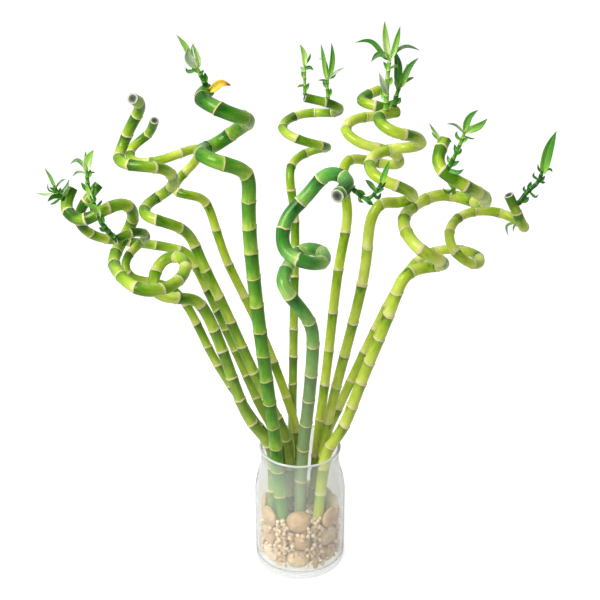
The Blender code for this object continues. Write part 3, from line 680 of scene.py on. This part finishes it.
# Each large leaf: its shoot, its widest half-width, its shade, and its route from base to tip
LEAVES = {
    "leaf_left_thin_top": ("shoot_left_thin", 4.6, 0.9, [
        (-207, -38, 487), (-204, -40, 497), (-199, -40, 505)]),
    "leaf_dark_front_long": ("shoot_dark_front", 3.4, 0.8, [
        (-97, -54, 590), (-104, -56, 607), (-112, -58, 618)]),
    "leaf_dark_front_up": ("shoot_dark_front", 2.4, 0.9, [
        (-93, -54, 591), (-95, -56, 601), (-98, -56, 610)]),
    "leaf_back_centre_left_top": ("shoot_back_centre_left", 3.2, 0.8, [
        (5, 90, 561), (4, 91, 571), (0, 92, 580)]),
    "leaf_back_centre_right_tall": ("shoot_back_centre_right", 3.2, 0.0, [
        (31, 98, 545), (34, 98, 563), (33, 97, 581)]),
    "leaf_back_centre_right_side": ("shoot_back_centre_right", 2.6, 0.3, [
        (28, 98, 545), (25, 99, 564), (22, 100, 579)]),
    "leaf_right_tall_up": ("shoot_right_tall_left", 3.6, 0.9, [
        (83, -22, 593), (80, -23, 610), (79, -23, 624)]),
    "leaf_right_tall_right": ("shoot_right_tall_left", 3.2, 0.5, [
        (87, -22, 592), (91, -21, 606), (94, -20, 619)]),
    "leaf_right_tall_arched": ("shoot_right_tall_left", 2.6, -0.3, [
        (81, -22, 590), (68, -24, 605), (52, -26, 605)]),
    "leaf_right_tall_dark": ("shoot_right_tall_right", 4.5, -0.8, [
        (95, -8, 563), (94, -10, 580), (90, -12, 595)]),
    "leaf_right_tall_outer": ("shoot_right_tall_right", 3.6, 0.2, [
        (99, -8, 562), (104, -6, 575), (114, -4, 586)]),
    "leaf_hooked_front": ("shoot_hooked_front", 3.0, 0.0, [(76, -94, 493), (79, -94, 501), (82, -92, 510)]),
    "leaf_right_wide_right": ("shoot_right_wide_right", 4.0, 0.4, [
        (156, -71, 533), (165, -71, 537), (173, -71, 544)]),
    "leaf_right_wide_up": ("shoot_right_wide_right", 3.4, -0.1, [
        (153, -71, 535), (156, -71, 545), (164, -71, 552)]),
    "leaf_far_right": ("shoot_far_right", 6.0, -0.1, [(255, 42, 460), (258, 42, 479), (265, 42, 501)]),
}

# The small leaves on each shoot, or at a cane's end: half-width, shade, how far faded, and route
SMALL_LEAVES = {
    "left_thin": [
        (1.6, 0.2, 0.1, [(-207, -38, 487), (-208, -36, 495), (-208, -34, 502)]),
        (2.4, 0.1, 0.5, [(-209, -38, 487), (-215, -41, 495), (-221, -46, 493)]),
        (1.5, -0.3, 0.4, [(-211, -38, 481), (-217, -33, 481), (-224, -29, 475)]),
        (0.9, -0.2, 0.3, [(-206, -38, 480), (-203, -35, 481), (-201, -30, 479)]),
        (3.2, 0.8, 0.0, [(-204, -40, 453), (-206, -42, 463), (-208, -42, 473)]),
        (3.8, 0.5, 0.0, [(-198, -41, 436), (-201, -44, 447), (-211, -47, 452)]),
        (1.3, -0.5, 0.0, [(-199, -37, 447), (-197, -33, 450), (-197, -30, 451)]),
        (2.4, -0.2, 0.0, [(-204, -35, 455), (-203, -30, 461), (-204, -28, 467)])],
    "left_double_loop": [
        (2.3, 0.2, 0.1, [(-242, -14, 458), (-248, -16, 469), (-253, -18, 480)]),
        (1.7, 0.9, 0.3, [(-247, -14, 450), (-257, -10, 450), (-267, -6, 450)]),
        (2.6, -1.0, 0.0, [(-242, -15, 447), (-247, -20, 451), (-252, -24, 447)]),
        (1.1, -0.4, 0.0, [(-251, -14, 450), (-251, -17, 457), (-251, -19, 465)]),
        (1.3, -0.2, 0.5, [(-241, -14, 460), (-239, -8, 464), (-236, -5, 464)]),
        (2.0, -0.1, 0.4, [(-238, -14, 453), (-235, -11, 458), (-232, -8, 465)]),
        (1.6, -0.8, 0.0, [(-244, -12, 446), (-249, -7, 440), (-255, -3, 437)])],
    "dark_front": [
        (5.0, 0.8, 0.7, [(-100, -55, 590), (-102, -57, 597), (-102, -58, 606)]),
        (1.5, 0.9, 0.1, [(-98, -54, 590), (-95, -52, 594), (-92, -49, 596)]),
        (1.4, 0.7, 0.1, [(-100, -53, 587), (-98, -49, 592), (-96, -46, 594)]),
        (0.8, 0.1, 0.3, [(-101, -54, 603), (-99, -52, 606), (-97, -49, 608)]),
        (2.0, -0.9, 0.0, [(-96, -54, 580), (-91, -58, 583), (-88, -61, 587)]),
        (2.0, -0.9, 0.0, [(-99, -53, 584), (-104, -49, 583), (-106, -46, 586)])],
    "back_centre_left": [
        (2.2, -1.0, 0.0, [(6, 90, 555), (10, 88, 557), (14, 85, 555)]),
        (1.7, -0.1, 0.5, [(5, 90, 551), (3, 93, 554), (0, 96, 556)]),
        (1.5, 0.2, 0.2, [(5, 90, 537), (1, 87, 538), (-3, 84, 537)]),
        (1.4, -0.3, 0.1, [(7, 90, 560), (10, 94, 566), (11, 97, 570)])],
    "back_centre_right": [
        (1.3, -0.1, 0.6, [(29, 98, 556), (26, 101, 561), (20, 104, 563)]),
        (1.7, 0.1, 0.9, [(32, 98, 549), (40, 94, 552), (46, 91, 556)]),
        (1.4, -0.2, 0.2, [(31, 98, 539), (26, 94, 542), (19, 90, 543)]),
        (1.8, -0.4, 0.1, [(31, 98, 544), (36, 102, 545), (38, 107, 549)])],
    "hooked_front": [
        (2.6, -0.3, 0.1, [(67, -93, 483), (64, -96, 490), (60, -99, 494)]),
        (1.6, -0.8, 0.0, [(71, -93, 486), (77, -89, 485), (80, -85, 488)]),
        (1.8, -0.6, 0.0, [(59, -93, 477), (62, -98, 474), (66, -102, 475)]),
        (2.2, -0.9, 0.0, [(68, -93, 478), (73, -89, 474), (76, -85, 477)]),
        (1.4, 0.1, 0.2, [(52, -93, 479), (50, -88, 482), (52, -84, 484)]),
        (1.7, 0.5, 0.0, [(54, -93, 477), (56, -90, 471), (60, -87, 468)])],
    "right_tall_left": [
        (2.0, -0.6, 0.4, [(86, -22, 597), (99, -18, 600), (114, -13, 595)]),
        (3.0, -0.3, 0.1, [(83, -22, 592), (74, -26, 594), (67, -30, 588)]),
        (3.2, -0.2, 0.9, [(84, -24, 556), (79, -28, 566), (75, -29, 577)]),
        (1.5, 0.4, 0.1, [(87, -22, 579), (92, -17, 581), (94, -12, 577)]),
        (1.7, 0.5, 0.2, [(85, -21, 547), (80, -16, 551), (79, -13, 556)])],
    "right_tall_right": [
        (1.6, 0.1, 0.1, [(102, -8, 563), (107, -4, 566), (111, 0, 566)]),
        (2.2, -0.4, 0.2, [(100, -8, 557), (93, -13, 563), (91, -17, 569)]),
        (2.0, -0.2, 0.3, [(100, -8, 564), (103, -2, 572), (104, 3, 579)])],
    "right_wide_right": [
        (1.3, -0.3, 0.5, [(149, -71, 531), (143, -74, 539), (135, -78, 541)]),
        (0.9, -0.2, 0.2, [(155, -71, 527), (160, -67, 524), (164, -64, 523)]),
        (1.6, -0.7, 0.0, [(148, -71, 524), (146, -67, 527), (147, -63, 530)]),
        (1.8, -0.5, 0.0, [(146, -71, 509), (149, -75, 514), (149, -78, 518)]),
        (2.6, -0.6, 0.1, [(143, -72, 489), (148, -75, 494), (153, -79, 498)]),
        (2.0, 0.2, 0.1, [(144, -71, 499), (140, -68, 503), (139, -64, 507)])],
    "right_wide_low": [
        (2.0, 0.7, 0.0, [(158, 27, 440), (154, 25, 453), (150, 24, 466)]),
        (2.2, -0.2, 0.0, [(160, 27, 441), (164, 31, 448), (166, 34, 456)]),
        (1.6, -0.4, 0.0, [(158, 27, 439), (153, 23, 441), (148, 19, 447)])],
    "right_wide_end": [
        (1.7, 0.9, 0.0, [(131, -38, 516), (128, -40, 524), (123, -43, 532)]),
        (1.3, -0.2, 0.0, [(131, -38, 518), (129, -35, 518), (127, -32, 521)]),
        (2.0, -0.8, 0.0, [(139, -34, 511), (143, -32, 513), (147, -31, 510)])],
    "far_right": [
        (1.5, -0.6, 0.0, [(254, 40, 459), (249, 37, 462), (247, 34, 468)]),
        (1.4, -0.5, 0.0, [(257, 40, 460), (262, 43, 460), (266, 47, 455)]),
        (1.5, -0.8, 0.0, [(251, 40, 448), (256, 44, 445), (260, 48, 444)]),
        (1.4, -0.6, 0.0, [(249, 40, 450), (244, 36, 455), (244, 32, 460)]),
        (1.8, -0.9, 0.0, [(240, 40, 435), (237, 44, 437), (238, 48, 440)]),
        (1.6, -0.7, 0.0, [(244, 40, 434), (248, 36, 432), (250, 32, 436)])],
    "far_right_low": [
        (1.7, 0.2, 0.4, [(226, 50, 401), (223, 48, 395), (225, 46, 384)]),
        (1.5, 0.3, 0.3, [(226, 50, 400), (232, 53, 393), (232, 56, 385)])],
}
LEAF_COLUMNS = 9
LEAF_ROWS = 18
LEAF_THICKNESS = 0.4
LEAF_CLASP = 0.5
LEAF_WIDEST = 0.42
LEAF_TIP_SHARE = 0.02
LEAF_DEPTH = 1.5
LARGE_LEAF_FOLD = 0.32
SMALL_LEAF_FOLD = 0.35
SHEATH_LEAF_FOLD = 0.5


def leaf_mesh(route, half_width, faded, fold, twist, dice):
    """A pointed blade along its route: a narrow clasping base, widest before the middle, and a round
    shoulder down to its tip. Its marks are the place across the blade from -1 to 1, the place along it
    from 0 to 1, and how far it has faded."""
    curve = smooth_curve(route, 240)
    picks = np.linspace(0, len(curve) - 1, LEAF_ROWS).astype(int)
    along = np.gradient(curve, axis=0)[picks]
    along /= np.linalg.norm(along, axis=1)[:, None]
    rows = np.linspace(0, 1, LEAF_ROWS)
    opening = np.sin(np.clip(rows / LEAF_WIDEST, 0, 1) * math.pi / 2)
    widths = half_width * (LEAF_CLASP + (1 - LEAF_CLASP) * opening)
    tapering = np.clip((rows - LEAF_WIDEST) / (1 - LEAF_WIDEST), 0, 1) ** 2.0
    widths *= np.clip(1 - tapering, LEAF_TIP_SHARE, 1)
    columns = np.linspace(-1, 1, LEAF_COLUMNS)
    ripple = dice.uniform(0, 6)
    points, marks = [], []
    for row, (middle, ahead, width) in enumerate(zip(curve[picks], along, widths)):
        side = np.cross(ahead, (0.0, -1.0, 0.25))
        side /= np.linalg.norm(side)
        up = np.cross(side, ahead)
        turn = twist * rows[row]
        side, up = side * math.cos(turn) + up * math.sin(turn), up * math.cos(turn) - side * math.sin(turn)
        closing = fold + (1 - rows[row]) ** 3 * 0.7
        for column in columns:
            lift = closing * abs(column) ** 1.25 * width
            lift += 0.10 * width * math.sin(9 * rows[row] + ripple + 2.5 * column) * column * column
            points.append(middle + side * column * width * (1 - 0.25 * closing) + up * lift)
            marks.append((column, rows[row], faded))
    faces = [(row * LEAF_COLUMNS + column, row * LEAF_COLUMNS + column + 1,
              (row + 1) * LEAF_COLUMNS + column + 1, (row + 1) * LEAF_COLUMNS + column)
             for row in range(LEAF_ROWS - 1) for column in range(LEAF_COLUMNS - 1)]
    return np.array(points), faces, np.array(marks)


# A living leaf: waxy green, pale where it clasps the stem and darker outwards, with a light middle rib, a
# drying tip, and veins that run its whole length about 0.5 mm apart. The oldest have faded to grey-green.
leaf = start_material("living_leaf_blade")
leaf_place = add(leaf, "Attribute", attribute_name="blade").outputs["Vector"]
leaf_parts = add(leaf, "SeparateXYZ", {"Vector": leaf_place})
leaf_shade = add(leaf, "Attribute", attribute_name="shade").outputs["Fac"]
veins = add(leaf, "Math", {0: leaf_parts, 1: 26.0}, operation="MULTIPLY")
veins = add(leaf, "Math", {0: veins}, operation="SINE")
leaf_stretched = add(leaf, "VectorMath", {0: leaf_place, 1: (3.0, 1.2, 1.0)}, operation="MULTIPLY")
leaf_noise = add(leaf, "TexNoise", {"Vector": leaf_stretched, "Scale": 2.5, "Detail": 3.0})
leaf_tone = add(leaf, "MapRange", {"Value": leaf_shade, "From Min": -1.0, "From Max": 1.0,
                                   "To Min": 0.05, "To Max": 0.8})
leaf_vary = add(leaf, "MapRange", {"Value": leaf_noise, "From Min": 0.3, "From Max": 0.7,
                                   "To Min": -0.12, "To Max": 0.12})
leaf_base = add(leaf, "MapRange", {"Value": leaf_parts.outputs[1], "From Min": 0.0, "From Max": 0.75,
                                   "To Min": 0.42, "To Max": -0.06})
leaf_sum = add(leaf, "Math", {0: leaf_tone, 1: leaf_vary}, operation="ADD")
leaf_sum = add(leaf, "Math", {0: leaf_sum, 1: leaf_base}, operation="ADD")
leaf_sum = add(leaf, "Math", {0: veins, 1: 0.045, 2: leaf_sum},
               operation="MULTIPLY_ADD")
leaf_green = add(leaf, "ValToRGB", {"Fac": leaf_sum}, stops=[
    (0.0, "#125c06"), (0.25, "#2c8410"), (0.5, "#5aa824"), (0.75, "#9ad04e"), (1.0, "#dcf2a4")])
from_rib = add(leaf, "Math", {0: leaf_parts}, operation="ABSOLUTE")
on_rib = add(leaf, "MapRange", {"Value": from_rib, "From Min": 0.03, "From Max": 0.11,
                                "To Min": 0.5, "To Max": 0.0})
leaf_colour = add(leaf, "Mix", {0: on_rib, 6: leaf_green, 7: paint("#b4d878")},
                  data_type="RGBA")
leaf_colour = add(leaf, "Mix", {0: leaf_parts.outputs[2], 6: leaf_colour.outputs[2], 7: paint("#b9ccb0")},
                  data_type="RGBA")
tip_age = add(leaf, "MapRange", {"Value": leaf_parts.outputs[1], "From Min": 0.86, "To Max": 0.7})
leaf_colour = add(leaf, "Mix", {0: tip_age, 6: leaf_colour.outputs[2], 7: paint("#5c6440")},
                  data_type="RGBA")
leaf_bump = add(leaf, "Bump", {"Height": veins, "Strength": 0.2, "Distance": 0.0002})
add(leaf, "OutputMaterial", {"Surface": add(leaf, "BsdfPrincipled", {
    "Base Color": leaf_colour.outputs[2], "Roughness": 0.38, "Specular IOR Level": 0.4,
    "Coat Weight": 0.08, "Coat Roughness": 0.25, "Subsurface Weight": 0.15,
    "Subsurface Radius": (0.5, 1.0, 0.2), "Subsurface Scale": 0.001,
    "Normal": leaf_bump})})


def make_leaf_piece(name, blades, material, slot, stands_for=None):
    """One piece of one or more blades, each with its route, half-width, shade, fade, fold, twist and dice."""
    points, faces, places, shades = [], [], [], []
    for route, half_width, shade, faded, fold, twist, dice in blades:
        blade_points, blade_faces, blade_places = leaf_mesh(route, half_width, faded, fold, twist, dice)
        start = sum(len(part) for part in points)
        points.append(blade_points)
        faces += [tuple(start + i for i in face) for face in blade_faces]
        places.append(blade_places)
        shades.append(np.full(len(blade_points), shade))
    piece = make_piece(name, np.concatenate(points), faces, [material], slot, stands_for,
                       blade=np.concatenate(places), shade=np.concatenate(shades))
    blade = piece.modifiers.new("blade thickness", "SOLIDIFY")
    blade.thickness = LEAF_THICKNESS * MM
    blade.offset = 0.0
    return piece


for number, (name, (shoot, half_width, shade, route)) in enumerate(LEAVES.items()):
    tip, ahead = shoot_tips[shoot]
    base = np.array(route[0], dtype=float)
    root = tip - ahead / np.linalg.norm(ahead) * LEAF_DEPTH
    clasped = tuple(root + (base - root) * 0.2)
    dice = np.random.default_rng(500 + number)
    make_leaf_piece(name + "_blade", [([clasped] + route, half_width, shade, 0.0, LARGE_LEAF_FOLD,
                                       dice.uniform(-0.5, 0.5), dice)], leaf, "leaf_blade", name)

leaf_stems = {name.replace("shoot_", ""): curve for name, curve in shoot_curves.items()}
leaf_stems["right_wide_end"] = cane_curves["cane_right_wide"]
leaf_stems["far_right_low"] = cane_curves["cane_far_right"]
for number, (stem, small_leaves) in enumerate(SMALL_LEAVES.items()):
    dice = np.random.default_rng(700 + number)
    blades = []
    for half_width, shade, faded, route in small_leaves:
        away = np.linalg.norm(leaf_stems[stem] - np.array(route[0]), axis=1)
        clasped = tuple(leaf_stems[stem][away.argmin()])
        blades.append(([clasped] + route[1:], half_width, shade, faded, SMALL_LEAF_FOLD,
                       dice.uniform(-0.7, 0.7), dice))
    make_leaf_piece("small_leaves_" + stem, blades, leaf, "leaf_blade")


# Short sheath leaves clasp each shoot by turns on its left and right, and lean out of its collars.
SHEATH_EVERY = 11.0
for number, (name, curve) in enumerate(shoot_curves.items()):
    base_radius, tip_radius, base_tone, tip_tone = SHOOTS[name][1:5]
    dice = np.random.default_rng(900 + number)
    lengths = np.concatenate([[0.0], np.cumsum(np.linalg.norm(np.diff(curve, axis=0), axis=1))])
    along, across, third = stem_frames(curve)
    blades = []
    place, side = 5.0, 1.0
    while place < lengths[-1] - 2.0:
        i = int(np.searchsorted(lengths, place))
        facing = math.copysign(1.0, across[i][0] or 1.0) * side * across[i]
        facing = facing + dice.uniform(-0.6, 0.2) * third[i]
        facing /= np.linalg.norm(facing)
        radius = base_radius + (tip_radius - base_radius) * place / lengths[-1]
        reach = dice.uniform(6.0, 10.0)
        base = curve[i] + facing * radius * 0.55
        middle = curve[i] + along[i] * reach * 0.5 + facing * (radius + dice.uniform(0.1, 0.8))
        tip = curve[i] + along[i] * reach + facing * (radius + dice.uniform(1.0, 3.5))
        tone = 0.7 - 1.5 * (base_tone + (tip_tone - base_tone) * place / lengths[-1])
        blades.append(([base, middle, tip], radius * dice.uniform(0.8, 1.1), tone + dice.uniform(-0.3, 0.3),
                       0.0, SHEATH_LEAF_FOLD, dice.uniform(-0.3, 0.3), dice))
        place += SHEATH_EVERY * dice.uniform(0.8, 1.3)
        side = -side
    make_leaf_piece(name + "_sheath_leaves", blades, leaf, "leaf_blade")


# ---------------------------------------------------------------------------------------------------------
# The withered sheath. One old leaf base at the top of the front cane has dried to papery straw, brown and
# brittle at its torn tip.

HUSK_ROUTE = [(-84, -53, 566), (-80, -54, 568), (-73, -56, 573), (-64, -54, 571)]
HUSK_HALF_WIDTH = 4.4
HUSK_FOLD = 0.35
HUSK_TWIST = 0.5

husk = start_material("dried_papery_leaf")
husk_place = add(husk, "Attribute", attribute_name="blade").outputs["Vector"]
husk_parts = add(husk, "SeparateXYZ", {"Vector": husk_place})
husk_stretched = add(husk, "VectorMath", {0: husk_place, 1: (9.0, 1.5, 1.0)}, operation="MULTIPLY")
husk_noise = add(husk, "TexNoise", {"Vector": husk_stretched, "Scale": 2.0, "Detail": 4.0})
husk_age = add(husk, "Math", {0: husk_noise, 1: 0.22, 2: husk_parts.outputs[1]},
               operation="MULTIPLY_ADD")
husk_colour = add(husk, "ValToRGB", {"Fac": husk_age}, stops=[
    (0.15, "#e2dc58"), (0.4, "#fad848"), (0.85, "#f4c434"), (0.97, "#c07c24"), (1.0, "#6b3d17")])
husk_bump = add(husk, "Bump", {"Height": husk_noise, "Strength": 0.6, "Distance": 0.0005})
add(husk, "OutputMaterial", {"Surface": add(husk, "BsdfPrincipled", {
    "Base Color": husk_colour, "Roughness": 0.72, "Normal": husk_bump})})
make_leaf_piece("withered_sheath_dry", [
    (HUSK_ROUTE, HUSK_HALF_WIDTH, 0.0, 0.0, HUSK_FOLD, HUSK_TWIST, np.random.default_rng(9))],
    husk, "withered_straw", "withered_sheath")


# ---------------------------------------------------------------------------------------------------------
# The studio: a white paper table that runs back out of sight, a large soft lamp from the upper left, a
# weaker one on the right, and white walls all round.

TABLE_CORNERS = [(-9, -5, 0), (9, -5, 0), (9, 16, 0), (-9, 16, 0)]
LAMPS_AIM = Vector((0.0, 0.0, 0.36))

# Matt white paper, lit so that it shows as plain white. It gives the plant less light than it shows, as
# a paper roll does that the lamps are kept off.
paper = start_material("matt_white_paper")
ray = add(paper, "LightPath")
seen = add(paper, "Math", {0: ray.outputs["Is Camera Ray"], 1: ray.outputs["Is Transmission Ray"]},
           operation="MAXIMUM")
paper_light = add(paper, "MapRange", {"Value": seen, "To Min": 0.30, "To Max": 0.80})
paper_grain = add(paper, "TexNoise", {"Vector": add(paper, "TexCoord").outputs["Object"], "Scale": 900.0})
paper_bump = add(paper, "Bump", {"Height": paper_grain, "Strength": 0.05, "Distance": 0.0002})
add(paper, "OutputMaterial", {"Surface": add(paper, "BsdfPrincipled", {
    "Base Color": paint("#a8a8a6"), "Roughness": 0.9, "Emission Color": paint("#ffffff"),
    "Emission Strength": paper_light, "Normal": paper_bump})})
floor_mesh = bpy.data.meshes.new("paper_table")
floor_mesh.from_pydata(TABLE_CORNERS, [], [(0, 1, 2, 3)])
floor_mesh.materials.append(paper)
floor = bpy.data.objects.new("paper_table", floor_mesh)
bpy.context.scene.collection.objects.link(floor)

# White walls, lit most behind and above on the left, as by a window. Like the paper they show as plain
# white whatever light they give the plant.
walls = bpy.data.worlds.new("white_walls")
walls.use_nodes = True
walls.node_tree.nodes.clear()
towards_window = add(walls, "VectorMath", {0: add(walls, "TexCoord").outputs["Generated"],
                                           1: (-0.55, 0.70, 0.45)}, operation="DOT_PRODUCT")
wall_light = add(walls, "MapRange", {"Value": towards_window.outputs["Value"], "From Min": -0.6,
                                     "To Min": 0.12, "To Max": 0.75})
wall_ray = add(walls, "LightPath")
walls_seen = add(walls, "Math", {0: wall_ray.outputs["Is Camera Ray"],
                                 1: wall_ray.outputs["Is Transmission Ray"]}, operation="MAXIMUM")
wall_shown = add(walls, "Math", {0: walls_seen, 1: wall_light}, operation="MAXIMUM")
add(walls, "OutputWorld", {"Surface": add(walls, "Background", {
    "Color": paint("#fbfcfd"), "Strength": wall_shown})})
bpy.context.scene.world = walls

# Each lamp: its name, its place and its size in metres, and its power
for name, place, size, watts in (("key_lamp", (-1.3, -1.2, 1.9), 1.25, 52),
                                 ("fill_lamp", (1.7, -0.7, 1.1), 1.0, 2),
                                 ("top_lamp", (0.0, 0.6, 2.2), 1.4, 6)):
    lamp = bpy.data.lights.new(name, "AREA")
    lamp.shape = "SQUARE"
    lamp.size = size
    lamp.energy = watts
    lamp_object = bpy.data.objects.new(name, lamp)
    lamp_object.location = place
    aim = LAMPS_AIM - Vector(place)
    lamp_object.rotation_euler = aim.to_track_quat("-Z", "Y").to_euler()
    bpy.context.scene.collection.objects.link(lamp_object)

# The camera stands in front, a metre away, and looks down on the curls
camera = bpy.data.cameras.new("camera")
camera.lens = 66.0
camera.sensor_width = 36.0
camera_object = bpy.data.objects.new("camera", camera)
camera_object.location = (0.0, -1.0663, 0.8068)
camera_object.rotation_euler = (math.radians(65.85), 0.0, 0.0)
bpy.context.scene.collection.objects.link(camera_object)
bpy.context.scene.camera = camera_object
bpy.context.scene.view_settings.view_transform = "Standard"
